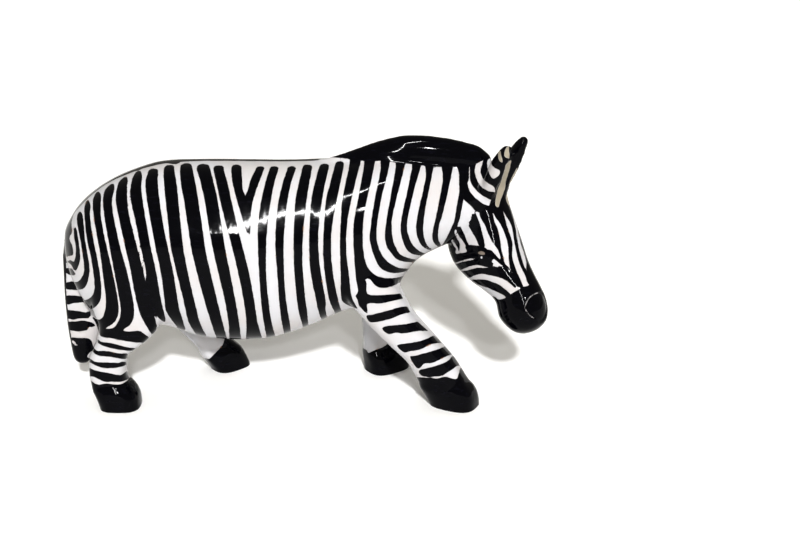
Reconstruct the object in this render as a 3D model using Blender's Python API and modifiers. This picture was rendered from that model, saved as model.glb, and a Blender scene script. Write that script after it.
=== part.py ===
"""A walking zebra carved from one block of wood, painted and lacquered.

The animal faces +X with its right side to -Y. It stands on four flat soles at z = 0.
The pose, the proportions and the carving are shares of the length, so the tables below are in
two-hundredths of it (one unit is 1 mm on a figurine 200 mm long).
"""
import math

import bmesh
import bpy
import numpy as np

# Driving sizes, in metres
LENGTH = 0.200           # tail to muzzle
MANE_RISE = 0.0095       # height of the crest of the mane above the neck
MANE_WIDTH = 0.0104      # thickness of the mane where it stands on the neck
TAIL_WIDTH = 0.0092      # thickness of the tuft of the tail
EAR_LENGTH = 0.0264      # root to tip
EAR_WIDTH = 0.0082       # across the leaf of the ear
EAR_HOLLOW = 0.0022      # depth of the groove in the front of an ear
NOSE_PAD_DEPTH = 0.0006  # step of the nose pad into the muzzle
HOOF_FLARE = 0.0008      # how far a hoof stands out below its coronet

# Fineness of the carved surface, in metres and in triangles
CHIP = 0.0011
TRIANGLES = 8600
SOFTENING = 0.5
SOFTENING_PASSES = 4

UNIT = LENGTH / 200
RING_POINTS = 48
ROWS_BETWEEN = 5

# Trunk and neck: x, top z, bottom z, half width
TRUNK = (
    (-98.4, 70.0, 60.0, 3.0),
    (-96.6, 74.0, 53.0, 9.5),
    (-92.6, 80.2, 44.0, 16.5),
    (-87.0, 85.6, 36.0, 21.5),
    (-79.0, 90.9, 33.5, 24.5),
    (-69.0, 95.4, 32.2, 26.0),
    (-57.0, 98.8, 30.3, 26.7),
    (-40.0, 99.5, 25.0, 27.0),
    (-20.0, 99.4, 24.2, 26.7),
    (-8.0, 99.3, 26.8, 26.2),
    (4.0, 99.6, 31.5, 25.4),
    (16.0, 100.2, 37.0, 24.6),
    (27.0, 101.0, 38.5, 23.4),
    (35.0, 101.4, 43.5, 21.3),
    (40.0, 101.4, 51.0, 19.3),
    (46.0, 100.9, 59.0, 17.0),
    (55.0, 99.8, 64.0, 14.4),
    (64.0, 98.8, 67.5, 12.6),
    (71.0, 97.6, 72.0, 11.0),
    (76.0, 94.0, 78.0, 7.0),
)
TRUNK_FULLNESS = 2.25
BELLY_SWELL = 0.06

# Head, in its own frame at the poll: distance down the face, brow side, jaw side, half width
POLL = (74.0, -2.0, 96.0)
HEAD_TURN = math.radians(45)
HEAD_DROOP = math.radians(62)
HEAD = (
    (-6.5, -2.0, -8.0, 3.0),
    (-4.0, 1.0, -13.0, 6.2),
    (2.0, 2.6, -18.0, 8.4),
    (8.0, 2.8, -23.0, 9.5),
    (15.0, 2.1, -27.0, 10.3),
    (22.0, 1.8, -31.8, 11.2),
    (31.0, 1.2, -31.3, 11.8),
    (39.0, 1.0, -26.4, 10.8),
    (45.0, 2.0, -20.8, 9.5),
    (50.5, 3.3, -16.8, 8.7),
    (57.0, 3.7, -17.4, 9.2),
    (62.2, 2.4, -15.4, 7.9),
    (65.4, -0.2, -12.8, 5.8),
    (67.2, -4.0, -9.5, 2.4),
)
HEAD_FULLNESS = 2.2

# Legs, as level sections: z, centre x, half length, centre y, half width, turn of the toes in degrees
NEAR_HIND = (
    (-3.0, -76.8, 7.5, -18.2, 7.6, 0),
    (0.0, -76.9, 7.6, -18.2, 7.8, 0),
    (5.0, -77.9, 8.0, -18.2, 7.9, 0),
    (9.5, -80.0, 7.7, -18.1, 7.4, 0),
    (12.5, -81.1, 7.6, -18.0, 7.0, 0),
    (18.0, -81.1, 7.6, -17.8, 7.0, 0),
    (23.5, -79.9, 7.9, -17.2, 7.6, 0),
    (29.5, -74.6, 10.2, -16.4, 9.0, 0),
    (36.0, -71.2, 12.6, -15.4, 10.6, 0),
    (44.0, -71.0, 15.0, -14.4, 12.0, 0),
    (54.0, -70.0, 17.0, -13.4, 13.0, 0),
    (66.0, -70.0, 17.0, -12.0, 13.0, 0),
)
FAR_HIND = (
    (-3.0, -35.2, 7.4, 19.6, 5.6, 42),
    (0.0, -35.4, 7.6, 19.6, 5.8, 42),
    (5.0, -37.8, 8.2, 19.2, 6.1, 36),
    (10.0, -40.6, 8.5, 18.6, 6.4, 26),
    (14.0, -43.8, 8.3, 18.0, 6.6, 16),
    (20.0, -48.2, 8.8, 17.2, 7.2, 8),
    (27.0, -53.0, 10.8, 16.2, 8.6, 0),
    (37.0, -59.5, 14.5, 14.8, 10.8, 0),
    (50.0, -65.0, 17.0, 13.4, 12.8, 0),
    (64.0, -68.0, 17.0, 12.0, 13.0, 0),
)
NEAR_FORE = (
    (-3.0, 61.4, 9.0, -17.4, 7.0, -27),
    (0.0, 61.4, 9.1, -17.4, 7.2, -27),
    (5.0, 59.8, 10.2, -17.6, 7.4, -24),
    (10.0, 57.2, 10.3, -17.9, 7.3, -18),
    (14.0, 55.1, 10.1, -18.1, 7.0, -12),
    (21.0, 50.9, 9.9, -18.2, 7.4, -5),
    (30.0, 42.7, 10.5, -17.6, 8.2, 0),
    (40.0, 33.9, 10.7, -16.4, 9.4, 0),
    (50.0, 27.4, 11.8, -14.6, 10.6, 0),
    (64.0, 20.0, 12.0, -12.0, 11.0, 0),
)
FAR_FORE = (
    (-3.0, 33.0, 8.6, 18.0, 6.6, 36),
    (0.0, 33.0, 8.7, 18.0, 6.7, 36),
    (5.0, 32.8, 8.9, 17.8, 6.9, 32),
    (10.0, 31.4, 8.2, 17.6, 6.9, 20),
    (14.0, 30.3, 7.5, 17.4, 6.7, 8),
    (22.0, 30.0, 7.5, 17.2, 7.0, 0),
    (32.0, 30.0, 8.4, 16.8, 8.0, 0),
    (43.0, 29.0, 10.4, 15.6, 9.6, 0),
    (56.0, 26.0, 12.0, 13.6, 11.0, 0),
    (68.0, 22.0, 11.0, 12.0, 11.0, 0),
)
LEG_FULLNESS = 2.5
CORONET = 10.5
FLARE_DROP = 2

# Tail, as level sections: z, centre x, half depth, share of the width of the tuft
TAIL = (
    (10.6, -95.2, 1.8, 0.35),
    (12.2, -95.4, 3.4, 0.70),
    (16.5, -94.8, 4.8, 0.92),
    (22.5, -94.2, 6.0, 1.00),
    (28.0, -93.6, 7.0, 1.00),
    (33.5, -93.5, 7.3, 0.94),
    (40.0, -94.1, 6.8, 0.84),
    (50.0, -95.0, 5.6, 0.72),
    (62.0, -94.7, 5.2, 0.60),
    (72.0, -92.4, 5.2, 0.50),
)

# Mane: x, share of the rise, share of the width
MANE = (
    (4.0, 0.00, 0.22),
    (14.0, 0.22, 0.46),
    (23.0, 0.50, 0.72),
    (32.0, 0.78, 0.92),
    (41.0, 0.96, 1.00),
    (50.0, 1.04, 1.00),
    (59.0, 1.00, 0.96),
    (66.0, 0.88, 0.90),
    (71.0, 0.66, 0.82),
    (75.5, 0.20, 0.66),
)
MANE_FOOT = 93.0
MANE_SUNK = 1
MANE_ROUNDNESS = 0.8
NECK_TOP = ((4.0, 99.6), (27.0, 101.0), (40.0, 101.4), (55.0, 99.9), (66.0, 98.9), (75.5, 99.6))

# Ears: root and tip in head frame (down the face, out from the brow, sideways), and half width shares
NEAR_EAR_ROOT = (8.3, 0.3, -4.2)
NEAR_EAR_LEAN = (-0.604, 0.797, 0.0)
FAR_EAR_ROOT = (7.5, 0.5, 4.2)
FAR_EAR_LEAN = (-0.581, 0.814, 0.03)
EAR_LEAF = (
    (-0.12, 0.84),
    (0.06, 0.90),
    (0.26, 1.02),
    (0.48, 1.08),
    (0.68, 1.00),
    (0.85, 0.76),
    (0.96, 0.42),
)
EAR_DEPTH_SHARE = 0.92
EAR_GROOVE = 0.42
EAR_GROOVE_ENDS = (0.0, 0.25, 0.68, 0.98)
EAR_FACING = math.radians(-14)

# Nose pad, a shield on the front of the muzzle: distance down the face and half width
NOSE_PAD = ((51.6, 2.8), (53.0, 5.8), (56.2, 7.6), (60.0, 6.2), (63.4, 3.4), (65.2, 1.2))
NOSE_PAD_REACH = 6


def spline(rows, between=ROWS_BETWEEN):
    """Smooth rows through the given ones: a Catmull-Rom curve in every column."""
    points = np.array(rows, dtype=float)
    first = 2 * points[0] - points[1]
    last = 2 * points[-1] - points[-2]
    held = np.vstack((first, points, last))
    share = np.arange(between)[:, None] / between
    parts = []
    for before, start, end, after in zip(held, held[1:], held[2:], held[3:]):
        bend = 2 * before - 5 * start + 4 * end - after
        twist = 3 * (start - end) + after - before
        parts.append(start + 0.5 * share * (end - before + share * (bend + share * twist)))
    return np.vstack((*parts, points[-1]))


def ring(fullness, count=RING_POINTS):
    """Cosine and sine round a superellipse: the higher the fullness, the squarer the ring."""
    angle = np.arange(count) * 2 * math.pi / count
    power = 2 / fullness
    across = np.sign(np.cos(angle)) * np.abs(np.cos(angle)) ** power
    upward = np.sign(np.sin(angle)) * np.abs(np.sin(angle)) ** power
    return across, upward


def skin(name, rings, collection):
    """A closed body through rings of equal count, with a fan over each end."""
    mesh = bmesh.new()
    loops = [[mesh.verts.new(point) for point in row] for row in rings * UNIT]
    for low, high in zip(loops, loops[1:]):
        for i in range(len(low)):
            j = (i + 1) % len(low)
            mesh.faces.new((low[i], low[j], high[j], high[i]))
    for loop in (loops[0], loops[-1]):
        centre = mesh.verts.new(sum((v.co for v in loop), loop[0].co * 0) / len(loop))
        for i in range(len(loop)):
            mesh.faces.new((loop[i], loop[(i + 1) % len(loop)], centre))
    bmesh.ops.recalc_face_normals(mesh, faces=mesh.faces)
    data = bpy.data.meshes.new(name)
    mesh.to_mesh(data)
    mesh.free()
    body = bpy.data.objects.new(name, data)
    collection.objects.link(body)
    return body


def trunk_rings():
    """Upright ellipses along x, wider below the middle than above it."""
    across, upward = ring(TRUNK_FULLNESS)
    rings = []
    for x, top, bottom, half_width in spline(TRUNK):
        side = half_width * across * (1 - BELLY_SWELL * upward)
        height = (top + bottom) / 2 + (top - bottom) / 2 * upward
        rings.append(np.stack((np.full_like(side, x), side, height), axis=1))
    return np.array(rings)


def head_frame():
    """The poll, and the directions down the face, out from the brow and to the far side."""
    forward = np.array((math.cos(HEAD_TURN), -math.sin(HEAD_TURN), 0))
    upward = np.array((0, 0, 1))
    down_face = forward * math.cos(HEAD_DROOP) - upward * math.sin(HEAD_DROOP)
    brow = forward * math.sin(HEAD_DROOP) + upward * math.cos(HEAD_DROOP)
    sideways = np.array((math.sin(HEAD_TURN), math.cos(HEAD_TURN), 0))
    return np.array(POLL), down_face, brow, sideways


def in_head(down, out, side):
    """A point given in the head's frame, in the figurine's."""
    poll, down_face, brow, sideways = head_frame()
    return poll + down * down_face + out * brow + side * sideways


def head_rings():
    """Sections square to the face, from the poll to the end of the muzzle."""
    across, upward = ring(HEAD_FULLNESS)
    poll, down_face, brow, sideways = head_frame()
    rings = []
    for down, front, back, half_width in spline(HEAD):
        out = (front + back) / 2 + (front - back) / 2 * upward
        side = half_width * across
        rings.append(poll + down * down_face + np.outer(out, brow) + np.outer(side, sideways))
    return np.array(rings)


def leg_rings(rows):
    """Level sections down a leg, the hoof flared below the coronet."""
    across, upward = ring(LEG_FULLNESS)
    flare = HOOF_FLARE / UNIT
    rings = []
    for z, centre_x, half_length, centre_y, half_width, toes in spline(rows):
        grown = flare * float(np.clip((CORONET - z) / FLARE_DROP, 0, 1))
        along = (half_length + grown) * across
        side = (half_width + grown) * upward
        turn = math.radians(toes)
        x = centre_x + along * math.cos(turn) - side * math.sin(turn)
        y = centre_y + along * math.sin(turn) + side * math.cos(turn)
        rings.append(np.stack((x, y, np.full_like(x, z)), axis=1))
    return np.array(rings)


def tail_rings():
    """Level ellipses down the tail, which is carved against the rump."""
    across, upward = ring(2)
    half_tuft = TAIL_WIDTH / UNIT / 2
    rings = []
    for z, centre_x, half_depth, share in spline(TAIL):
        x = centre_x + half_depth * across
        y = half_tuft * share * upward
        rings.append(np.stack((x, y, np.full_like(x, z)), axis=1))
    return np.array(rings)


def mane_rings():
    """Arches across the neck: a lens from the side, standing on the neck with a ledge at its foot."""
    turn = np.linspace(0, math.pi, RING_POINTS // 2)
    arch_side = np.cos(turn)
    arch_up = np.sin(turn) ** MANE_ROUNDNESS
    neck_x, neck_z = np.array(NECK_TOP).T
    rings = []
    for x, rise, width in spline(MANE):
        base = np.interp(x, neck_x, neck_z) - MANE_SUNK
        side = MANE_WIDTH / UNIT / 2 * width * arch_side
        height = base + (MANE_RISE / UNIT * rise + MANE_SUNK) * arch_up
        foot = np.array(((side[-1], MANE_FOOT), (side[0], MANE_FOOT)))
        outline = np.vstack((np.stack((side, height), axis=1), foot))
        rings.append(np.insert(outline, 0, x, axis=1))
    return np.array(rings)


def ear_rings(root, lean):
    """Leaf sections from root to tip, with a groove down the front."""
    across, upward = ring(2)
    start = in_head(*root)
    tip = in_head(*(np.array(root) + np.array(lean) * EAR_LENGTH / UNIT))
    axis = tip - start
    facing = np.array((math.cos(EAR_FACING), math.sin(EAR_FACING), 0))
    facing -= axis * (facing @ axis) / (axis @ axis)
    facing /= np.linalg.norm(facing)
    breadth = np.cross(axis / np.linalg.norm(axis), facing)
    half = EAR_WIDTH / UNIT / 2
    rings = []
    for share, width in spline(EAR_LEAF):
        hollow = np.exp(-((across / EAR_GROOVE) ** 2)) * (upward > 0)
        depth = EAR_HOLLOW / UNIT * np.interp(share, EAR_GROOVE_ENDS, (0, 1, 1, 0))
        out = half * EAR_DEPTH_SHARE * width * upward - depth * hollow
        side = half * width * across
        rings.append(start + share * axis + np.outer(out, facing) + np.outer(side, breadth))
    return np.array(rings)


def pad_cutter_rings():
    """A shield-shaped block whose inner face lies just under the front of the muzzle."""
    upper = [(down, side) for down, side in NOSE_PAD]
    lower = [(down, -side) for down, side in reversed(NOSE_PAD)]
    outline = np.array(upper + lower)
    head = spline(HEAD)
    front = np.interp(outline[:, 0], head[:, 0], head[:, 1])
    half_width = np.interp(outline[:, 0], head[:, 0], head[:, 3])
    depth = (front - np.interp(outline[:, 0], head[:, 0], head[:, 2])) / 2
    bulge = (1 - (np.abs(outline[:, 1]) / half_width) ** HEAD_FULLNESS) ** (1 / HEAD_FULLNESS)
    surface = front - depth * (1 - bulge)
    poll, down_face, brow, sideways = head_frame()
    flat = poll + np.outer(outline[:, 0], down_face) + np.outer(outline[:, 1], sideways)
    return np.array([flat + np.outer(surface + out, brow) for out in (-NOSE_PAD_DEPTH / UNIT, NOSE_PAD_REACH)])


def paint():
    """Cream paint under a clear lacquer."""
    material = bpy.data.materials.new("painted_wood")
    material.use_nodes = True
    shader = material.node_tree.nodes["Principled BSDF"]
    shader.inputs["Base Color"].default_value = (0.72, 0.66, 0.60, 1)
    shader.inputs["Roughness"].default_value = 0.22
    shader.inputs["Metallic"].default_value = 0.0
    return material


def evaluated(body):
    """The mesh of an object as its modifiers leave it."""
    graph = bpy.context.evaluated_depsgraph_get()
    return bpy.data.meshes.new_from_object(body.evaluated_get(graph))


def carve(blocks, cutters):
    """One body from the overlapping blocks: fused, softened as sanded wood, and cut flat under the hooves."""
    for block in blocks:
        block.select_set(True)
    bpy.context.view_layer.objects.active = blocks[0]
    bpy.ops.object.join()
    body = blocks[0]
    body.name = "zebra"
    fuse = body.modifiers.new("fuse", "REMESH")
    fuse.mode = "VOXEL"
    fuse.voxel_size = CHIP
    soften = body.modifiers.new("soften", "SMOOTH")
    soften.factor = SOFTENING
    soften.iterations = SOFTENING_PASSES
    faces = len(evaluated(body).polygons)
    thin = body.modifiers.new("thin", "DECIMATE")
    thin.ratio = min(1.0, TRIANGLES / (2 * faces))
    for cutter in cutters:
        cut = body.modifiers.new(cutter.name, "BOOLEAN")
        cut.operation = "DIFFERENCE"
        cut.solver = "EXACT"
        cut.object = cutter
    mesh = evaluated(body)
    body.modifiers.clear()
    body.data = mesh
    return body


def ground_cutter(collection):
    """A slab below z = 0 that makes the four soles flat and level."""
    mesh = bmesh.new()
    bmesh.ops.create_cube(mesh, size=1)
    bmesh.ops.scale(mesh, vec=(2 * LENGTH, LENGTH, LENGTH / 10), verts=mesh.verts)
    bmesh.ops.translate(mesh, vec=(0, 0, -LENGTH / 20), verts=mesh.verts)
    data = bpy.data.meshes.new("ground_cut")
    mesh.to_mesh(data)
    mesh.free()
    slab = bpy.data.objects.new("ground_cut", data)
    collection.objects.link(slab)
    return slab


def main():
    for old in list(bpy.data.objects):
        bpy.data.objects.remove(old)
    figure = bpy.data.collections.new("zebra_figurine")
    tools = bpy.data.collections.new("cutters")
    bpy.context.scene.collection.children.link(figure)
    bpy.context.scene.collection.children.link(tools)

    blocks = [
        skin("trunk", trunk_rings(), figure),
        skin("head", head_rings(), figure),
        skin("mane", mane_rings(), figure),
        skin("tail", tail_rings(), figure),
        skin("near_ear", ear_rings(NEAR_EAR_ROOT, NEAR_EAR_LEAN), figure),
        skin("far_ear", ear_rings(FAR_EAR_ROOT, FAR_EAR_LEAN), figure),
    ]
    legs = {"near_hind": NEAR_HIND, "far_hind": FAR_HIND, "near_fore": NEAR_FORE, "far_fore": FAR_FORE}
    for name, rows in legs.items():
        blocks.append(skin(name, leg_rings(rows), figure))
    cutters = [skin("nose_pad_cut", pad_cutter_rings(), tools), ground_cutter(tools)]
    for cutter in cutters:
        cutter.hide_render = True
        cutter.display_type = "WIRE"

    body = carve(blocks, cutters)
    points = np.array([vertex.co for vertex in body.data.vertices])
    middle = (points.min(axis=0) + points.max(axis=0)) / 2
    for vertex in body.data.vertices:
        vertex.co.x -= middle[0]
        vertex.co.y -= middle[1]
    body.data.materials.clear()
    body.data.materials.append(paint())
    body.data.shade_smooth()
    body.data.set_sharp_from_angle(angle=math.radians(40))


main()
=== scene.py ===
"""The looks of a walking zebra carved from one block of wood, painted by hand and lacquered.

The figure is lofted from sections, fused and softened as sanded wood, and painted stroke by stroke.
Tables of sections are in two-hundredths of the length (one unit is 1 mm on a figurine 200 mm long).
The animal faces +X with its right side to -Y, and stands on z = 0.
"""
import math

import bmesh
import bpy
import numpy as np
from bpy.props import FloatProperty, FloatVectorProperty, IntProperty, PointerProperty
from bpy.types import Operator, Panel, PropertyGroup
from mathutils import Matrix, Vector


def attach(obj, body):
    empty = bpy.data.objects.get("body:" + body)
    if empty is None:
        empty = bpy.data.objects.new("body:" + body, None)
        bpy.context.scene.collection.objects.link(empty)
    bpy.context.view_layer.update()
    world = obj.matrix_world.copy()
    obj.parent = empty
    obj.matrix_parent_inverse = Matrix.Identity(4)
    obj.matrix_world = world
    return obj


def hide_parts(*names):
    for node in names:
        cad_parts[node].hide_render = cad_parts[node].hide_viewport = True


bl_info = {
    "name": "Carved zebra",
    "version": (1, 0, 0),
    "blender": (4, 5, 0),
    "location": "3D View > Sidebar > Zebra",
    "description": "Carves and paints a wooden zebra and sets it on a pale stage",
    "category": "Add Mesh",
}

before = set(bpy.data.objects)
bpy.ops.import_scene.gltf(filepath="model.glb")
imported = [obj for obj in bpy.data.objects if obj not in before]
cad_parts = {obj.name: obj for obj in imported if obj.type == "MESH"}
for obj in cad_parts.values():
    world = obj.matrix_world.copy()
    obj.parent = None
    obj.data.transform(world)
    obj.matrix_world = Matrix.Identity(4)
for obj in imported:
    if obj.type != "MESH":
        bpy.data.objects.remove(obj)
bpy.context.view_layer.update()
UNIT = 0.001

# Sections of the trunk and neck: x, top z, bottom z, half width
TRUNK = (
    (-98.4, 70, 60, 3), (-96.6, 74, 53, 9.5), (-92.6, 80.2, 44, 16.5), (-87, 85.6, 36, 21.5),
    (-79, 90.9, 33.5, 24.5), (-69, 95.4, 32.2, 26), (-57, 98.8, 30.3, 26.7), (-40, 99.5, 25, 27),
    (-20, 99.4, 24.2, 26.7), (-8, 99.3, 26.8, 26.2), (4, 99.6, 31.5, 25.4), (16, 100.2, 37, 24.6),
    (27, 101, 38.5, 23.4), (35, 101.4, 43.5, 21.3), (40, 101.4, 51, 19.3), (46, 100.9, 59, 17),
    (55, 99.8, 64, 14.4), (64, 98.8, 67.5, 12.6), (71, 97.6, 72, 11), (76, 94, 78, 7),
)
TRUNK_FULLNESS = 2.25
BELLY_SWELL = 0.06

# The head's own frame at the poll, and its sections: down the face, brow side, jaw side, half width
POLL = np.array((74.0, -2.0, 96.0))
HEAD_TURN = math.radians(45)
HEAD_DROOP = math.radians(62)
HEAD = (
    (-6.5, -2, -8, 3), (-4, 1, -13, 6.2), (2, 2.6, -18, 8.4), (8, 2.8, -23, 9.5), (15, 2.1, -27, 10.3),
    (22, 1.8, -31.8, 11.2), (31, 1.2, -31.3, 11.8), (39, 1, -26.4, 10.8), (45, 2, -20.8, 9.5),
    (50.5, 3.3, -16.8, 8.7), (57, 3.7, -17.4, 9.2), (62.2, 2.4, -15.4, 7.9), (65.4, -0.2, -12.8, 5.8),
    (67.2, -4, -9.5, 2.4),
)
HEAD_FULLNESS = 2.2

# Legs, as level sections: z, centre x, half length, centre y, half width, turn of the toes in degrees
NEAR_HIND = (
    (-3, -76.8, 7.5, -18.2, 7.6, 0), (0, -76.9, 7.6, -18.2, 7.8, 0), (5, -77.9, 8, -18.2, 7.9, 0),
    (9.5, -80, 7.7, -18.1, 7.4, 0), (12.5, -81.1, 7.6, -18, 7, 0), (18, -81.1, 7.6, -17.8, 7, 0),
    (23.5, -79.9, 7.9, -17.2, 7.6, 0), (29.5, -74.6, 10.2, -16.4, 9, 0), (36, -71.2, 12.6, -15.4, 10.6, 0),
    (44, -71, 15, -14.4, 12, 0), (54, -70, 17, -13.4, 13, 0), (66, -70, 17, -12, 13, 0),
)
FAR_HIND = (
    (-3, -35.2, 7.4, 19.6, 5.6, 42), (0, -35.4, 7.6, 19.6, 5.8, 42), (5, -37.8, 8.2, 19.2, 6.1, 36),
    (10, -40.6, 8.5, 18.6, 6.4, 26), (14, -43.8, 8.3, 18, 6.6, 16), (20, -48.2, 8.8, 17.2, 7.2, 8),
    (27, -53, 10.8, 16.2, 8.6, 0), (37, -59.5, 14.5, 14.8, 10.8, 0), (50, -65, 17, 13.4, 12.8, 0),
    (64, -68, 17, 12, 13, 0),
)
NEAR_FORE = (
    (-3, 61.4, 9, -17.4, 7, -27), (0, 61.4, 9.1, -17.4, 7.2, -27), (5, 59.8, 10.2, -17.6, 7.4, -24),
    (10, 57.2, 10.3, -17.9, 7.3, -18), (14, 55.1, 10.1, -18.1, 7, -12), (21, 50.9, 9.9, -18.2, 7.4, -5),
    (30, 42.7, 10.5, -17.6, 8.2, 0), (40, 33.9, 10.7, -16.4, 9.4, 0), (50, 27.4, 11.8, -14.6, 10.6, 0),
    (64, 20, 12, -12, 11, 0),
)
FAR_FORE = (
    (-3, 33, 8.6, 18, 6.6, 36), (0, 33, 8.7, 18, 6.7, 36), (5, 32.8, 8.9, 17.8, 6.9, 32),
    (10, 31.4, 8.2, 17.6, 6.9, 20), (14, 30.3, 7.5, 17.4, 6.7, 8), (22, 30, 7.5, 17.2, 7, 0),
    (32, 30, 8.4, 16.8, 8, 0), (43, 29, 10.4, 15.6, 9.6, 0), (56, 26, 12, 13.6, 11, 0),
    (68, 22, 11, 12, 11, 0),
)
LEG_FULLNESS = 3.0
CORONET = 10.5
FLARE_DROP = 2

# Rows added between two given ones, points round a section, and points over the arch of the mane
SECTION_STEPS = 10
CURVE_STEPS = 5
RING_POINTS = 96
ARCH_POINTS = 48

# Tail, as level sections: z, centre x, half depth, share of the width of the tuft
TAIL = (
    (10.6, -95.2, 1.8, 0.35), (12.2, -95.4, 3.4, 0.7), (16.5, -94.8, 4.8, 0.92), (22.5, -94.2, 6, 1),
    (28, -93.6, 7, 1), (33.5, -93.5, 7.3, 0.94), (40, -94.1, 6.8, 0.84), (50, -95, 5.6, 0.72),
    (62, -94.7, 5.2, 0.6), (72, -92.4, 5.2, 0.5),
)

# Mane: x, share of the rise, share of the width
MANE = (
    (4, 0, 0.22), (14, 0.22, 0.46), (23, 0.5, 0.72), (32, 0.78, 0.92), (41, 0.96, 1), (50, 1.04, 1),
    (59, 1, 0.96), (66, 0.88, 0.9), (71, 0.66, 0.82), (75.5, 0.2, 0.66),
)
MANE_FOOT = 93.0
MANE_SUNK = 1
MANE_ROUNDNESS = 0.8
NECK_TOP = ((4.0, 99.6), (27.0, 101.0), (40.0, 101.4), (55.0, 99.9), (66.0, 98.9), (75.5, 99.6))

# Ears: root and lean in the head's frame, and the leaf's half width from root to tip
EARS = (
    ((8.3, 0.3, -4.2), (-0.560, 0.765, 0.0)),
    ((7.5, 0.5, 4.2), (-0.581, 0.814, 0.03)),
)
EAR_LEAF = (
    (-0.12, 0.84), (0.06, 0.9), (0.26, 1.02), (0.48, 1.08), (0.68, 0.96), (0.85, 0.7), (0.96, 0.38),
)
EAR_DEPTH_SHARE = 0.92
EAR_GROOVE = 0.42
EAR_GROOVE_ENDS = (0.0, 0.25, 0.68, 0.98)
EAR_FACING = math.radians(-14)

# Nose pad, a shield on the front of the muzzle: distance down the face and half width. Its step's width, where
# the face above it and the jaw below it begin, and where the grey line that paints a highlight on its rim ends
NOSE_PAD = ((52.8, 2.2), (54.0, 4.8), (56.6, 6.4), (60.0, 5.4), (62.8, 3.0), (64.2, 1.0))
PAD_STEP = 0.8
PAD_TOP = 48
PAD_BACK = -5
RIM_END = 61.5
RIM_SIDE = 1.0

# Middle of the near eye in the head's frame, and how far its bulge reaches
EYE = (31.7, -7.25, -10.4)
EYE_REACH = 3.0

# Strokes of the sanding, by turns towards and away from the neighbours' mean, and the angle of a sharp edge
SANDING = (0.55, -0.50)
SHARP_EDGE = math.radians(50)

# The slab below the ground that cuts the soles flat, in metres: its sides
SLAB = (0.4, 0.4, 0.1)

# Where the head, the ears and the legs reach: shares of their sections, and places in units
HEAD_REACH = 1.22
HEAD_START = -1
EAR_START = 0.12
EAR_RADIUS = 6.5
LEG_REACH = 1.3
LEG_TOP = 36
FINE_LEG_TOP = 38
FINE_LEG_SIDE = -4

# The photograph's camera: its place and the point it looks at, in units, and its lens in millimetres
CAMERA_TARGET = np.array((38.8, 0.0, 54.1))
CAMERA_DISTANCE = 643.0
CAMERA_ELEVATION = math.radians(21.5)
LENS = 70.0
SENSOR = 36.0
PICTURE = (800, 533)

# Lamps: name, strength, width in degrees, turn in degrees, and whether it shows in gloss
LIGHTS = (
    ("key", 3.6, 3.5, (53.5, 0, 7), False),
    ("glint", 0.7, 3, (62, 0, 7), True),
    ("back", 0.45, 60, (-28, 0, -20), False),
)

# The bent strip lamp that draws a bright line along the flank: its corners in metres, its width and its watts
STRIP = ((-0.105, -0.995, 0.29), (-0.056, -0.864, 0.62), (-0.017, -0.650, 0.865), (0.143, -0.378, 1.02))
STRIP_WIDTH = 0.010
STRIP_POWER = 4.0
FIGURE_MIDDLE = (0, 0, 0.06)
GAMMA = 0.85

# The stage: side of the floor in metres, its colour and roughness, and the light from all round
FLOOR_SIZE = 8
FLOOR_COLOUR = (0.95, 0.95, 0.945, 1)
FLOOR_ROUGHNESS = 0.7
SKY_COLOUR = (1, 0.96, 0.87, 1)
SKY_STRENGTH = 0.42

# The paint: lumps a metre of its noises, the stretch of its streaks, and its gloss and ripples
LUMPS = {"wobble": 420, "cloud": 60, "streaks": 900, "specks": 260, "ripple": 150}
STREAK_STRETCH = (0.25, 1, 1)
GLOSS = 0.1
RIPPLES = {"Strength": 0.16, "Distance": 0.0005}


# The painting is drawn on the near side as the photograph's camera sees it, in picture pixels, and mirrored.
# Upright stripes as rows: picture row, left edge, right edge. The flank, from the V forwards
FLANK = (
    ((166.5, 231.8, 241.2), (170, 231.2, 241.6), (182, 232.4, 242.4), (190, 234, 243), (200, 236.8, 247.5),
     (212, 240.4, 251), (225, 244.2, 250.6), (234, 247.6, 249.8)),
    ((168, 256, 264.2), (170.5, 255.3, 263.6), (175, 252.6, 261.8), (182, 250, 259.3), (190, 247.7, 256.3),
     (200, 243.5, 253.3), (212, 241.5, 251.1), (221, 243.5, 250.5)),
    ((168, 269.8, 278.6), (171, 269, 278), (182, 265.5, 274.6), (200, 261.3, 270.9), (225, 258, 267.5),
     (250, 258, 266.1), (275, 259.2, 266.3), (300, 260.9, 268.4), (322, 263.7, 271.6), (339, 267, 276)),
    ((168, 287.5, 296), (171, 286.8, 295.1), (182, 283, 291.5), (200, 278.7, 287.6), (225, 275.8, 284.7),
     (250, 275.5, 283.6), (275, 277.4, 284.2), (300, 279, 286.1), (322, 281.7, 289.7), (340, 285.5, 292)),
    ((166.5, 303, 312.3), (170, 302, 311.8), (182, 299, 309.5), (200, 295.5, 306.6), (225, 294, 303.8),
     (250, 293.6, 302.4), (275, 294.5, 303.1), (300, 297, 305.5), (312, 298.8, 307.3), (327, 303, 308.5),
     (334, 304.5, 310)),
    ((165.5, 320, 329), (170, 318.2, 328.4), (182, 315, 325.4), (200, 311.3, 322.2), (225, 309.5, 318.9),
     (250, 309, 318.4), (275, 311, 321.2), (300, 316, 325.5), (312, 318.7, 325.9), (325, 323.5, 330)),
    ((163, 335.5, 343.8), (166, 334.7, 343.8), (182, 330.5, 340.6), (200, 326, 337), (225, 324, 332.2),
     (250, 323, 331.1), (275, 325, 333.2), (300, 329.3, 338.2), (315, 336, 343)),
)

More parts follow.
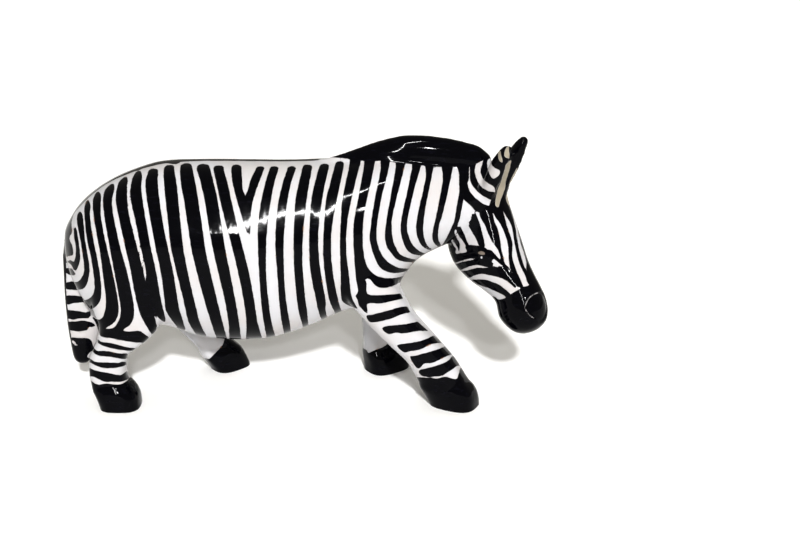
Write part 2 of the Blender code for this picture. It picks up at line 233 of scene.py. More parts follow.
# The rump, from the V backwards
RUMP = (
    ((167.5, 213.3, 223.8), (171, 213.5, 224.1), (182, 216.3, 227.4), (200, 219.9, 231.3), (225, 226.2, 237),
     (250, 232.7, 243.4), (275, 238.5, 249.5), (300, 243.6, 254.1), (322, 246.2, 257.6), (339, 246, 262.5)),
    ((166.5, 197, 209.5), (170, 197, 210.5), (182, 200.4, 213.4), (200, 204.5, 217.8), (225, 208.5, 221.4),
     (250, 213, 225.4), (275, 218.8, 230.5), (300, 224.6, 235.3), (322, 228.4, 239.2), (339, 229.5, 241)),
    ((165.5, 180.8, 192), (170, 180, 192.7), (182, 180.7, 195.3), (200, 183.9, 198.2), (225, 187.7, 202.1),
     (250, 191.5, 205.5), (275, 197.5, 211.1), (300, 204.2, 217.1), (322, 210.9, 222.6), (339, 217, 227)),
    ((167, 164.3, 174.5), (171, 163.6, 174.5), (182, 163.8, 176.3), (200, 165.5, 178.4), (225, 168.2, 180.8),
     (250, 171.3, 183.6), (275, 177.3, 188.4), (300, 183.3, 194.2), (322, 188.7, 199.8), (337, 198, 207)),
    ((170.5, 148.5, 158), (174, 147.5, 158.2), (182, 145.3, 157.7), (200, 146.9, 159.6), (225, 151.3, 163.3),
     (250, 156, 168.4), (275, 161.2, 173.7), (300, 164.6, 177.6), (312, 166.5, 180.2), (329, 178.5, 185.5)),
)

# Closed outlines: column and row of each point. Curved stripes of the rump and thigh, from L6 to the tail
HAUNCH = (
    ((139, 170.5), (142, 174.5), (141.5, 191), (145.6, 219), (151.4, 250), (157, 276), (161, 300), (165.5, 319),
     (163, 321.5), (156.5, 315.5), (152.8, 309), (148, 291), (146.3, 273), (140.7, 247), (135.6, 222),
     (130.7, 200), (130.3, 190), (131.5, 181.5), (134.5, 174)),
    ((146, 284), (149.5, 290), (154, 303), (157.5, 314), (156, 318), (152, 312), (148.5, 300), (145.5, 289)),
    ((125, 176.5), (127.8, 180), (127, 190), (128.6, 212), (134.4, 237), (141, 262), (147, 287), (151.5, 305),
     (156, 322), (156.8, 327), (152.5, 334.3), (145.5, 324.5), (139.5, 312), (134.5, 292), (130.3, 269),
     (124, 242), (118.2, 215), (115.8, 201), (116.5, 190), (119, 182)),
    ((112, 183.5), (114.5, 188), (112, 203), (115.2, 225), (121, 250), (127.8, 275), (133, 300), (134.2, 310),
     (133.5, 318), (130, 325), (123.5, 330), (129, 331.5), (138.5, 330.8), (142.5, 332.5), (149.5, 338.7),
     (144, 342.6), (128, 341.6), (113, 338.6), (102, 336.8), (99.5, 333), (103, 329.5), (112, 328.2),
     (116, 325), (119.5, 318.5), (120.6, 308), (116, 281), (111, 255), (105.7, 225), (103.8, 212),
     (102.9, 200), (105, 190)),
    ((98, 191.5), (101, 196), (100.7, 214), (104.5, 237), (110.5, 263), (116, 289), (118.7, 307), (117.3, 317),
     (113.8, 323), (106.5, 327.8), (103, 334), (99.5, 333.5), (97, 326), (94, 320), (91.3, 316.3),
     (98, 319.4), (102, 317.8), (105, 311), (105.8, 299), (103, 275), (99.6, 250), (95, 225), (92.7, 204),
     (94.5, 195)),
    ((88, 200), (90.5, 205), (90, 216), (93, 238), (98.5, 265), (101.3, 288), (100, 301), (94, 308),
     (89, 308.3), (84, 302.8), (75, 303), (66, 304.3), (66, 296), (81, 296.3), (84.5, 300), (91.5, 296.5),
     (94.5, 287), (91.8, 262), (86.8, 238), (84.2, 212), (85.5, 203)),
    ((79.5, 211.5), (83, 217), (85, 240), (89.3, 265), (88.5, 279), (82.5, 289), (66, 289), (66, 283),
     (71, 281.5), (77.5, 281.8), (83, 275), (84, 265), (80.3, 240), (76.8, 220)),
    ((74.3, 227), (77, 231), (79.7, 250), (80, 260), (75.5, 271), (70.5, 263.8), (66, 263), (66, 260.8),
     (71.5, 260.3), (74, 261.5), (76, 250), (74, 236)),
)
RUMP_EDGE = ((180, 162.4), (165, 163.3), (150, 166.4), (131, 172.5), (112, 180.6), (98.6, 189), (88.8, 197),
             (80.8, 204.4), (75, 211.8), (71.6, 222), (70, 236), (50, 236), (50, 206), (70, 170),
             (120, 145), (180, 140))
TAIL_BANDS = (
    ((58, 226), (66, 226), (70, 231), (69.2, 238), (72.5, 247), (73, 254.5), (69, 256), (58, 256)),
    ((60, 256), (65.8, 254), (66.2, 290), (67.5, 310), (69, 325), (71, 340), (60, 340)),
    ((65, 268.5), (71, 268.5), (74, 271.5), (75.3, 274.8), (70, 275), (65, 272)),
    ((65, 310.3), (75, 310.6), (87, 312.3), (89.5, 309.5), (91, 314.5), (89, 318), (79, 318.6), (72, 319.5),
     (65, 316)),
    ((66, 322.3), (76, 321.3), (82, 320.5), (91, 322), (95.3, 325.2), (93, 327.2), (88.5, 327.2),
     (87, 330.3), (75, 331.2), (66, 328)),
    ((76, 332.3), (81, 331.2), (86.2, 331.8), (86, 332.9), (80, 333.2)),
    ((58, 336.5), (72, 337.4), (80, 338), (87, 338), (91, 340.5), (93.2, 346), (94.3, 350), (91, 351.5),
     (87, 357), (89.5, 361.5), (84, 366), (75, 366), (58, 350)),
)
NEAR_LEG_BANDS = (
    ((97.8, 339), (101, 341.6), (113, 343.6), (127, 347.2), (135.8, 348.7), (130, 350.8), (118, 349.5),
     (106, 346.7), (98.2, 343)),
    ((92.5, 345.5), (96.5, 350.5), (106, 351), (120, 353.5), (127.8, 353.8), (125, 359), (112, 357),
     (97, 355), (90.5, 348)),
    ((86, 356.5), (91, 359.3), (96, 361.8), (110, 362.6), (118, 362.8), (123, 361.6), (126.5, 362.8),
     (125, 365.5), (114, 368), (103, 367.8), (95, 365), (86, 359.5)),
    ((86, 367), (96, 370.6), (110, 373.3), (120.5, 374.9), (129, 370), (130, 377), (122, 381.5),
     (111, 381.8), (104, 381.5), (94, 377), (86, 375)),
    ((366, 315.5), (372, 314.8), (390, 310), (398, 307.5), (406, 306.4), (412, 307), (414, 311), (403, 314),
     (390, 319), (378, 321.8), (370, 322)),
    ((382, 328.2), (390, 325.5), (404, 324.3), (417, 321.6), (422, 321), (431, 330), (418, 331),
     (404, 333.5), (396, 332.6), (388, 334)),
    ((397, 345.6), (405, 343.6), (420, 341), (434, 335.6), (438, 336), (445, 342), (432, 344),
     (420, 349.5), (412, 350.8), (403.5, 352.2)),
    ((410, 357), (416, 355.5), (436, 350), (447, 346.5), (454, 353), (447, 356), (436, 361.3),
     (430, 363.3), (424, 363.8), (417.5, 368.5)),
    ((419, 370.5), (434, 366.4), (447, 361.5), (454, 355.5), (460, 364), (456, 366.7), (446, 373.5),
     (440, 376.2), (424, 376.6)),
)
NEAR_HOOVES = (
    ((84, 380), (91, 381), (95, 383.6), (100, 384.6), (106, 383.6), (116, 384.4), (122, 383.8), (127, 380.8),
     (134, 378), (160, 400), (150, 430), (84, 425)),
    ((414, 378), (430, 378), (438, 378.3), (445, 376.8), (456, 379), (458.5, 374), (462, 366.5),
     (475, 364), (500, 400), (490, 425), (440, 425), (414, 390)),
)
FAR_SOCKS = (
    ((192, 362), (204, 358), (209, 359), (214, 354), (220, 348), (223.2, 344), (224.5, 338), (226, 325),
     (262, 325), (262, 385), (200, 385)),
    ((350, 348), (364.8, 349), (368.2, 352.8), (374, 350.5), (380, 348.3), (386, 345), (390, 341),
     (396, 334), (425, 350), (425, 390), (350, 390)),
)

# Curved stripes of the shoulder, neck and foreleg, from F7 to F14
SHOULDER = (
    ((351, 157), (348.4, 170), (342.5, 198), (340.5, 225), (340, 250), (340.6, 275), (341, 296), (345, 303.5),
     (357, 308.5), (355.5, 305), (351.5, 296), (349, 275), (346.3, 250), (347, 225), (351.3, 200),
     (357, 176), (361, 157)),
    ((365.5, 157), (363.4, 170), (357.7, 200), (353.4, 226), (354, 255), (356, 278), (358, 291),
     (355.5, 295.5), (357.5, 300), (359, 305.5), (365.5, 312.5), (367.6, 311), (367.6, 303.6), (380, 303.5),
     (390, 301.5), (404, 298), (403, 293.7), (390, 294.5), (380, 295), (367.5, 294), (366.7, 284),
     (365, 279), (370, 279.5), (376, 286), (384, 288), (396, 284.5), (409, 275), (395, 278), (380, 277),
     (370, 270.3), (364.5, 258), (362.7, 237), (364.5, 212), (371, 182), (375, 157)),
    ((380.8, 157), (380.4, 170), (374.5, 200), (370.9, 225), (369.8, 240), (374.5, 257), (381, 268.5),
     (391, 272.8), (401, 272.5), (410, 269), (397, 267.3), (385, 259), (378.5, 247), (376.5, 231),
     (381, 200), (388.4, 170), (389.5, 157)),
    ((397, 158), (395.3, 170), (391.7, 190), (385.8, 225), (385.6, 243), (393.5, 256), (401, 261),
     (411, 262.2), (421, 261.3), (403, 256), (395.5, 247), (391.8, 231), (393.3, 212), (403.7, 170),
     (405.5, 158)),
    ((413, 159), (411.6, 170), (407.5, 190), (400.6, 225), (404, 244), (411.5, 253.7), (428, 255.3),
     (416.5, 249), (409, 237), (407.3, 222), (414.1, 190), (419.9, 170), (422, 159)),
    ((425, 161), (425.6, 178), (418.2, 212), (416, 229), (419.5, 242), (425, 248.3), (434, 250.3),
     (427, 245), (423.3, 232), (424.9, 212), (432, 175), (434, 161)),
    ((441.5, 161), (442.7, 180), (436.9, 212), (432.6, 233), (434, 243), (442, 248.5), (438.2, 238),
     (439.3, 225), (443.2, 212), (450.9, 178), (452.5, 161)),
)

# The crest, and the stripes that both the neck and the head carry
CREST = ((326, 155.3), (332, 157.2), (346, 158.4), (353, 160.5), (380, 161), (400, 162.8), (421, 165.3),
         (440, 167), (462, 166.7), (472, 165), (480, 162), (487, 157), (496, 150), (484, 120), (380, 110),
         (322, 140))
NAPE = (
    ((457.5, 163), (459.6, 178), (459.3, 192), (456.2, 209), (454.4, 220), (449.8, 231), (445.5, 240),
     (442, 246), (446.5, 249.5), (452, 252.8), (456.3, 256), (466, 256), (469, 250), (468.3, 244.8),
     (466.2, 240.5), (464.8, 236), (462.3, 230.5), (460.4, 226.4), (458.6, 227), (457.3, 225.5), (460, 219),
     (461.3, 211), (463.5, 200), (467.8, 180), (468.5, 163)),
    ((460, 165), (467.7, 164), (466.6, 176), (468.5, 188), (473, 195.5), (482, 203.5), (491.5, 207.5),
     (493, 213), (485, 214), (476, 211), (470, 205), (463.5, 199.3), (459.5, 190)),
    ((471.3, 163), (476, 163), (474.8, 170), (475.6, 177), (480, 185.5), (488, 191.3), (496, 193),
     (496, 199), (489, 198.8), (477, 191), (471.3, 183), (469.7, 174)),
)

# The head: ears, forehead, eye, cheek and muzzle
HEAD_INK = (
    ((484, 158), (480.7, 170), (483, 178), (487.5, 182.5), (494.5, 187), (495, 194), (491, 201), (490, 208),
     (500, 209), (507, 205), (514, 192), (520, 170), (532, 140), (520, 122), (490, 140)),
    ((479.5, 206), (488, 208.5), (492.5, 213), (494, 221), (497.5, 229), (499.9, 240), (501.2, 250),
     (502.8, 256), (503.6, 261.5), (501.4, 261), (500.6, 256), (498.3, 250), (494.5, 244.5), (490.5, 238),
     (485, 225), (480.3, 216)),
    ((491, 207), (501, 206.5), (503.8, 215), (507.3, 228), (511.6, 240), (512.2, 250), (512, 256),
     (513.5, 263), (515.8, 270), (518.4, 276), (523, 287), (518, 286), (513.3, 275.5), (510.3, 268),
     (509, 259), (508.5, 247), (506.3, 237), (500.5, 224), (495, 216)),
    ((500.5, 200), (505.5, 200), (511, 211), (514.6, 225), (517.1, 240), (518.3, 247), (520.4, 255),
     (523.4, 265), (526.5, 270.5), (531, 277), (536, 284), (529, 284), (525.2, 275), (520.4, 265.5),
     (517.4, 255), (515.2, 245), (514.2, 239), (511.4, 225), (504, 212)),
    ((516, 215), (519, 225), (521.5, 236), (523.5, 245), (530, 255), (545, 262), (545, 292), (532, 290),
     (530.3, 282), (528.3, 275), (526.6, 269), (526.6, 263), (525, 256), (521.6, 245), (519.6, 237),
     (517.5, 228), (514.2, 214)),
    ((487, 250), (491, 250.6), (494.5, 254), (498.5, 258.4), (501.3, 260.7), (503.2, 260.8), (505.5, 264.6),
     (508.5, 267.6), (511, 272), (514.5, 280), (517, 285), (512, 280), (507.3, 273.5), (503.6, 268.4),
     (500, 264.4), (496.5, 261.2), (493, 258.2), (490, 255)),
    ((470, 210.5), (474.2, 212), (478.5, 221), (483, 237), (484.5, 246.5), (480, 246.5), (475, 236.5),
     (468, 224), (467, 215)),
    ((451, 253.7), (458, 253.4), (466, 252), (466.5, 248), (468.5, 245.3), (475, 245.6), (483, 247),
     (488, 250.5), (491.3, 256.5), (493, 262.5), (491.7, 267), (487.5, 266.8), (477, 264.8), (470, 266),
     (459, 269.7), (454.5, 266), (462, 262.3), (474, 259.8), (474.3, 258.2), (467, 258.8), (454, 262.3),
     (450, 258)),
    ((459, 272.5), (466, 271), (478, 268), (486, 268.3), (492, 266.3), (501, 268.7), (506, 272.5),
     (516, 284), (515, 287.5), (508, 281.5), (501, 277.8), (487, 274.3), (478, 274), (469, 277.5),
     (462, 277)),
    ((472, 280.5), (478, 279.7), (485, 280), (492, 282), (499, 285), (505, 289.5), (511.5, 296),
     (508, 298), (502, 294), (489, 288), (477, 283.7)),
    ((492, 297), (499, 299.8), (508, 297), (513, 293.2), (523, 287.5), (529, 285.5), (531, 281.5),
     (538, 282), (560, 290), (562, 330), (540, 350), (500, 340), (482, 310)),
)
HEAD_CHALK = (
    ((455.1, 229.6), (456.1, 229.6), (457, 232), (458.7, 235.5), (461.2, 239), (463.6, 242.3), (465.6, 245.5),
     (465.2, 247.5), (466.4, 249.7), (466.8, 251.4), (465.4, 252.5), (461, 253.1), (456.7, 253.8),
     (455.6, 252.4), (456, 250), (455.8, 248.5), (453.6, 245.5), (451.7, 242), (451.2, 240), (452.3, 239.4),
     (453.4, 240.5), (455, 243.5), (457.4, 247.3), (458.5, 250.5), (459.3, 250.3), (459.8, 246),
     (459.5, 243), (458, 240), (456, 236.5), (454.8, 233.5), (454.6, 231)),
    ((491.8, 261.3), (493.2, 258.6), (495, 259.5), (499.3, 263.3), (502.8, 266.4), (501, 266.5),
     (496, 264.6), (492.7, 262.8)),
    ((487, 162), (490.5, 158.5), (492.3, 166), (499.5, 170.5), (498.5, 175.5), (493, 178.3), (489, 173)),
    ((71.5, 340.5), (74, 341), (77.8, 345.6), (74.5, 345)),
)
# Beige that paints the shade in the ears' hollows and on their faint patches
EAR_HOLLOW_SHADE = (
    ((498.2, 152), (500.3, 151), (501.3, 156), (502.6, 162.5), (499.8, 161), (498.2, 157)),
    ((505.3, 149.5), (508.9, 146), (509, 152), (509.6, 158.3), (504.6, 156)),
    ((506.4, 164), (511.3, 160.5), (509.3, 170), (507.8, 175), (505.7, 182), (504.5, 190), (500.5, 200),
     (498.3, 207), (495.5, 205), (495.9, 198), (497.6, 190), (500.7, 182), (503, 175), (504.6, 170)),
    ((517.6, 167), (517, 171), (515.2, 177), (513.6, 182), (513, 190), (511.6, 200), (511.5, 207),
     (508.5, 205), (505.7, 198), (508.4, 190), (509.8, 182), (513, 175)),
)
EYE_SHINE = ((478, 252.6), (481, 251.2), (484.6, 252.6), (484.3, 254.6), (480, 254.4))
EYE_SPARK = ((480.4, 257.4), (481.5, 256.2), (482.6, 257.5), (481.5, 258.8))

# Black below the eye's inner corner, which joins two strokes
EYE_CORNER = ((498.5, 267), (502, 265.2), (506, 267.2), (510, 271), (513.6, 276.5), (518, 285.5), (515, 287),
              (510.5, 283), (506, 277), (502, 271.5))

# The black line along the back as x, y and half width, its least height, the slope where it ends on a side,
# and the x behind which it runs down the rump
BACK_LINE = ((-97.0, 0, 5.5), (-90, 1, 5.5), (-80, 3, 4), (-60, 3.5, 4.6), (-42, 3.5, 2.4), (16, 3.5, 2.4))
LINE_FOOT = 64
LINE_SLOPE = 0.3
LINE_RUMP = -86

# Where the far side mirrors the near one, and the far legs' bands as height and half width
MIRROR = 3.5
FAR_BANDS = ((18.2, 1.4), (23.2, 1.35), (28.2, 1.3), (33.4, 1.7))

# The plain inner faces: their top, where they end towards the tail and the thigh, how quickly the stripes end
# there, and how far round that is, by height
INNER_TOP = 52
INNER_BACK = -89.5
THIGH_BACK = -84
THIGH_LOW = 30
INNER_SLOPE = 14
INNER_TURN = ((30, 40), (-0.04, 0.15))

# The rounded ends of an upright stripe: shares of its half width across and out
STRIPE_END = ((-0.8, 0.3), (0, 0.45), (0.8, 0.3))

# The two fields that neighbouring strokes of black take by turns, so that they don't run together
INKS = ("ink_a", "ink_b")

# In pixels: how far the fields reach, how much the head's strokes are widened, and the size of a unit
FIELD_REACH = 12.0
HEAD_STROKE_GROWTH = 0.3
PIXELS_PER_UNIT = 2.42

# From the tables' place to the frame's, in units
FRAME_SHIFT = np.array((1.04, -0.24, 0.0))


class Shape(PropertyGroup):
    """Sizes of the carving."""

    mane_rise: FloatProperty(
        name="Mane rise", description="Height of the crest above the neck", default=0.0095, unit="LENGTH")
    mane_width: FloatProperty(
        name="Mane width", description="Thickness of the mane on the neck", default=0.0104, unit="LENGTH")
    tail_width: FloatProperty(
        name="Tail width", description="Thickness of the tail's tuft", default=0.0092, unit="LENGTH")
    ear_length: FloatProperty(
        name="Ear length", description="Root to tip of an ear", default=0.0264, unit="LENGTH")
    ear_width: FloatProperty(
        name="Ear width", description="Across the leaf of an ear", default=0.0082, unit="LENGTH")
    ear_hollow: FloatProperty(
        name="Ear hollow", description="Depth of the groove in an ear", default=0.0024, unit="LENGTH")
    hoof_flare: FloatProperty(
        name="Hoof flare", description="How far a hoof stands out below its coronet", default=0.0008,
        unit="LENGTH")
    pad_depth: FloatProperty(
        name="Nose pad depth", description="Step of the nose pad into the muzzle", default=0.0006,
        unit="LENGTH")
    eye_swell: FloatProperty(
        name="Eye swell", description="How far the eyes stand out", default=0.0005, unit="LENGTH")
    chip: FloatProperty(
        name="Chip", description="Width of a facet of the fine surface", default=0.0011, unit="LENGTH")
    softening: IntProperty(
        name="Softening", description="Rounds of sanding over the whole figure", default=8, min=0)


class Finish(PropertyGroup):
    """Colours and wear of the paint."""

    ink: FloatVectorProperty(
        name="Black", description="Black of the stripes, hooves, mane and muzzle",
        default=(0.0012, 0.0012, 0.0024), subtype="COLOR", min=0, max=1)
    ink_shade: FloatVectorProperty(
        name="Black, brushed thin", description="Black where the brush ran dry", default=(0.004, 0.004, 0.008),
        subtype="COLOR", min=0, max=1)
    cream: FloatVectorProperty(
        name="Cream", description="The ground between the stripes", default=(0.505, 0.505, 0.525),
        subtype="COLOR", min=0, max=1)
    cream_shade: FloatVectorProperty(
        name="Cream, pinkish", description="The ground where the wood shows through",
        default=(0.49, 0.472, 0.472), subtype="COLOR", min=0, max=1)
    soil: FloatVectorProperty(
        name="Soil", description="Smears beside the stripes", default=(0.28, 0.25, 0.24), subtype="COLOR",
        min=0, max=1)
    # Beige that paints the shade in the ears' hollows and on their faint patches
    hollow_shade: FloatVectorProperty(
        name="Beige", description="The hollows of the ears and their faint patches",
        default=(0.30, 0.27, 0.215), subtype="COLOR", min=0, max=1)
    # A grey line that paints the highlight on the nose pad's rim
    pad_rim_highlight: FloatVectorProperty(
        name="Rim", description="Rubbed edge of the nose pad", default=(0.30, 0.29, 0.29), subtype="COLOR",
        min=0, max=1)
    wood: FloatVectorProperty(
        name="Bare wood", description="Wood where the paint has come off", default=(0.26, 0.13, 0.06),
        subtype="COLOR", min=0, max=1)
    eye: FloatVectorProperty(
        name="Eye", description="Brown glint of the eye", default=(0.24, 0.20, 0.17), subtype="COLOR",
        min=0, max=1)
    raggedness: FloatProperty(
        name="Raggedness", description="How unsteady the edges of the stripes are", default=0.5, min=0, max=2)
    wear: FloatProperty(
        name="Wear", description="How much bare wood shows at the stripes' edges", default=0.5, min=0, max=1)


def spline(rows, between):
    """Smooth rows through the given ones: a Catmull-Rom curve in every column."""
    points = np.array(rows, dtype=float)
    held = np.vstack((2 * points[0] - points[1], points, 2 * points[-1] - points[-2]))
    before, start, end, after = (held[i:len(held) - 3 + i, None] for i in range(4))
    share = (np.arange(between) / between)[None, :, None]
    bend = 2 * before - 5 * start + 4 * end - after
    twist = 3 * (start - end) + after - before
    curve = start + 0.5 * share * (end - before + share * (bend + share * twist))
    return np.vstack((curve.reshape(-1, points.shape[1]), points[-1]))


def ring(fullness):
    """Cosine and sine round a superellipse: the higher the fullness, the squarer the ring."""
    angle = np.arange(RING_POINTS) * 2 * math.pi / RING_POINTS
    power = 2 / fullness
    across = np.sign(np.cos(angle)) * np.abs(np.cos(angle)) ** power
    upward = np.sign(np.sin(angle)) * np.abs(np.sin(angle)) ** power
    return across, upward


def head_axes():
    """Directions down the face, out from the brow and to the far side: a turn, then a droop."""
    forward = np.array((math.cos(HEAD_TURN), -math.sin(HEAD_TURN), 0))
    upward = np.array((0, 0, 1))
    down_face = forward * math.cos(HEAD_DROOP) - upward * math.sin(HEAD_DROOP)
    brow = forward * math.sin(HEAD_DROOP) + upward * math.cos(HEAD_DROOP)
    sideways = np.array((math.sin(HEAD_TURN), math.cos(HEAD_TURN), 0))
    return np.stack((down_face, brow, sideways))


def trunk_rings():
    """Upright superellipses along x, a little wider below the middle than above it."""
    across, upward = ring(TRUNK_FULLNESS)
    x, top, bottom, half_width = spline(TRUNK, SECTION_STEPS).T[:, :, None]
    side = half_width * across * (1 - BELLY_SWELL * upward)
    height = (top + bottom) / 2 + (top - bottom) / 2 * upward
    return np.stack((x + 0 * side, side, height), axis=2)


def head_rings():
    """Superellipses square to the face, from the poll to the end of the muzzle."""
    across, upward = ring(HEAD_FULLNESS)
    down, front, back, half_width = spline(HEAD, SECTION_STEPS).T[:, :, None]
    out = (front + back) / 2 + (front - back) / 2 * upward
    local = np.stack((down + 0 * out, out, half_width * across), axis=2)
    return POLL + local @ head_axes()


def leg_rings(rows, shape):
    """Level superellipses down a leg, turned with the toes, the hoof flared below the coronet."""
    across, upward = ring(LEG_FULLNESS)
    z, centre_x, half_length, centre_y, half_width, toes = spline(rows, SECTION_STEPS).T[:, :, None]
    grown = shape.hoof_flare / UNIT * np.clip((CORONET - z) / FLARE_DROP, 0, 1)
    along = (half_length + grown) * across
    side = (half_width + grown) * upward
    turn = np.radians(toes)
    x = centre_x + along * np.cos(turn) - side * np.sin(turn)
    y = centre_y + along * np.sin(turn) + side * np.cos(turn)
    return np.stack((x, y, z + 0 * x), axis=2)


def tail_rings(shape):
    """Level ellipses down the tail, which lies against the rump."""
    across, upward = ring(2)
    z, centre_x, half_depth, share = spline(TAIL, SECTION_STEPS).T[:, :, None]
    x = centre_x + half_depth * across
    return np.stack((x, shape.tail_width / UNIT / 2 * share * upward, z + 0 * x), axis=2)


def mane_rings(shape):
    """Arches across the neck: a lens seen from the side, with a ledge at its foot."""
    turn = np.linspace(0, math.pi, ARCH_POINTS)
    x, rise, width = spline(MANE, SECTION_STEPS).T[:, :, None]
    neck_x, neck_z = np.array(NECK_TOP).T
    base = np.interp(x, neck_x, neck_z) - MANE_SUNK
    side = shape.mane_width / UNIT / 2 * width * np.cos(turn)
    height = base + (shape.mane_rise / UNIT * rise + MANE_SUNK) * np.sin(turn) ** MANE_ROUNDNESS
    arch = np.stack((x + 0 * side, side, height), axis=2)
    foot = arch[:, [-1, 0]].copy()
    foot[:, :, 2] = MANE_FOOT
    return np.concatenate((arch, foot), axis=1)


def ear_rings(root, lean, shape):
    """Leaf-shaped ellipses from root to tip, with a rounded groove down the front."""
    across, upward = ring(2)
    axes = head_axes()
    start = POLL + np.array(root) @ axes
    axis = np.array(lean) @ axes * shape.ear_length / UNIT
    facing = np.array((math.cos(EAR_FACING), math.sin(EAR_FACING), 0))
    facing -= axis * (facing @ axis) / (axis @ axis)
    facing /= np.linalg.norm(facing)
    breadth = np.cross(axis / np.linalg.norm(axis), facing)
    half = shape.ear_width / UNIT / 2
    share, width = spline(EAR_LEAF, SECTION_STEPS).T[:, :, None]
    hollow = np.exp(-((across / EAR_GROOVE) ** 2)) * (upward > 0)
    depth = shape.ear_hollow / UNIT * np.interp(share, EAR_GROOVE_ENDS, (0, 1, 1, 0))
    out = half * EAR_DEPTH_SHARE * width * upward - depth * hollow
    side = half * width * across
    return start + share[:, :, None] * axis + out[:, :, None] * facing + side[:, :, None] * breadth


def tube_mesh(name, tubes):
    """One mesh of closed tubes: quads between neighbouring rings, and a fan over each end."""
    points, quads, fans, first = [], [], [], 0
    for rings in tubes:
        rows, count = rings.shape[:2]
        index = first + np.arange(rows * count).reshape(rows, count)
        after = np.roll(index, -1, axis=1)
        quads.append(np.stack((index[:-1], after[:-1], after[1:], index[1:]), axis=2).reshape(-1, 4))
        for end, turned in ((0, True), (-1, False)):
            middle = np.full(count, first + rows * count + (end == -1))
            fan = np.stack((index[end], after[end], middle), axis=1)
            fans.append(fan[:, ::-1] if turned else fan)
        points += [rings.reshape(-1, 3), rings[0].mean(axis=0)[None], rings[-1].mean(axis=0)[None]]
        first += rows * count + 2
    mesh = bpy.data.meshes.new(name)
    faces = np.vstack(quads).tolist() + np.vstack(fans).tolist()
    mesh.from_pydata((np.vstack(points) * UNIT).tolist(), [], faces)
    return mesh


def settled(body):
    """Gives an object the mesh that its modifiers make of it, and takes them off."""
    graph = bpy.context.evaluated_depsgraph_get()
    mesh = bpy.data.meshes.new_from_object(body.evaluated_get(graph))
    body.modifiers.clear()
    body.data = mesh
    return mesh


def vertex_values(mesh, name):
    """An array of every vertex's co or normal."""
    source, field = (mesh.vertices, "co") if name == "co" else (mesh.vertex_normals, "vector")
    values = np.zeros(len(mesh.vertices) * 3, np.float32)
    source.foreach_get(field, values)
    return values.reshape(-1, 3).astype(float)


def neighbour_mean(points, edges):
    """Each vertex's mean over its edges' other ends."""
    count = len(points)
    degree = np.bincount(edges.ravel(), minlength=count)
    total = np.stack([
        np.bincount(edges[:, 0], points[edges[:, 1], k], count)
        + np.bincount(edges[:, 1], points[edges[:, 0], k], count) for k in range(3)], axis=1)
    return total / np.maximum(degree, 1)[:, None]


def sand(mesh, rounds, chosen=1):
    """Softens by turns towards and away from the neighbours' mean, which rounds facets but keeps the bulk."""
    edges = np.zeros(len(mesh.edges) * 2, np.int32)
    mesh.edges.foreach_get("vertices", edges)
    edges = edges.reshape(-1, 2)
    points = vertex_values(mesh, "co")
    for share in SANDING * rounds:
        points += share * (neighbour_mean(points, edges) - points) * np.reshape(chosen, (-1, 1))
    mesh.vertices.foreach_set("co", points.astype(np.float32).ravel())
    mesh.update()


def refine(mesh, chosen):
    """Halves every edge between two chosen vertices, for sharper painting there."""
    fine = bmesh.new()
    fine.from_mesh(mesh)
    edges = [edge for edge in fine.edges if chosen[edge.verts[0].index] and chosen[edge.verts[1].index]]
    bmesh.ops.subdivide_edges(fine, edges=edges, cuts=1, use_grid_fill=True)
    fine.to_mesh(mesh)
    fine.free()
    mesh.update()


def pad_distance(local):
    """Distance to the nose pad's outline in the head's frame, less than 0 inside it."""
    down, half = np.array(NOSE_PAD).T
    outline = np.vstack((np.stack((down, half), axis=1), np.stack((down, -half), axis=1)[::-1]))
    result = signed_distance(local[:, [0, 2]], closed_curve(outline))
    result[local[:, 1] < PAD_BACK] = FIELD_REACH
    return result


def detailed(points, normals, shape):
    """Moves the head along its normals: the nose pad sinks by a step, and the eyes swell as round bumps."""
    local = head_place(points)[0]
    sunk = np.clip(0.5 - pad_distance(local) / PAD_STEP, 0, 1) * (local[:, 0] > PAD_TOP)
    off = local - np.array(EYE)
    off[:, 2] = np.abs(local[:, 2]) + EYE[2]
    swell = np.exp(-(off ** 2).sum(axis=1) / EYE_REACH ** 2)
    move = (shape.eye_swell * swell - shape.pad_depth * sunk) / UNIT
    return points + move[:, None] * normals


def photograph_axes():
    """The camera's place, and the directions to the right, up and forward in its picture."""
    cosine, sine = math.cos(CAMERA_ELEVATION), math.sin(CAMERA_ELEVATION)
    place = CAMERA_TARGET + CAMERA_DISTANCE * np.array((0, -cosine, sine))
    return place, np.array(((1, 0, 0), (0, sine, cosine), (0, cosine, -sine)))


def to_picture(points):
    """Columns and rows of points in the photograph: a central projection."""
    place, axes = photograph_axes()
    right, up, forward = ((points - place) @ axes.T).T
    focal = LENS / SENSOR * PICTURE[0]
    return np.stack((PICTURE[0] / 2 + focal * right / forward, PICTURE[1] / 2 - focal * up / forward), axis=1)


def closed_curve(points):
    """A smooth closed outline through points: a Catmull-Rom curve round them."""
    corner = np.array(points, dtype=float)
    before, after, beyond = (np.roll(corner, turn, axis=0) for turn in (1, -1, -2))
    share = (np.arange(CURVE_STEPS) / CURVE_STEPS)[None, :, None]
    before, corner, after, beyond = (side[:, None] for side in (before, corner, after, beyond))
    bend = 2 * before - 5 * corner + 4 * after - beyond
    twist = 3 * (corner - after) + beyond - before
    curve = corner + 0.5 * share * (after - before + share * (bend + share * twist))
    return curve.reshape(-1, 2)


def curves(outlines):
    """Smooth closed outlines, one for each list of points."""
    return [closed_curve(points) for points in outlines]


def upright_stripe(rows):
    """Outline of a stripe: a smooth left edge down, a smooth right edge up, and rounded ends."""
    row, left, right = spline(rows, CURVE_STEPS).T
    ends = []
    for end, way in ((0, -1), (-1, 1)):
        middle, half = (left[end] + right[end]) / 2, (right[end] - left[end]) / 2
        ends.append([(middle + half * side, row[end] + way * half * lift) for side, lift in STRIPE_END])
    down, up = np.stack((left, row), axis=1), np.stack((right, row), axis=1)[::-1]
    return np.vstack((down, ends[1], up, ends[0][::-1]))


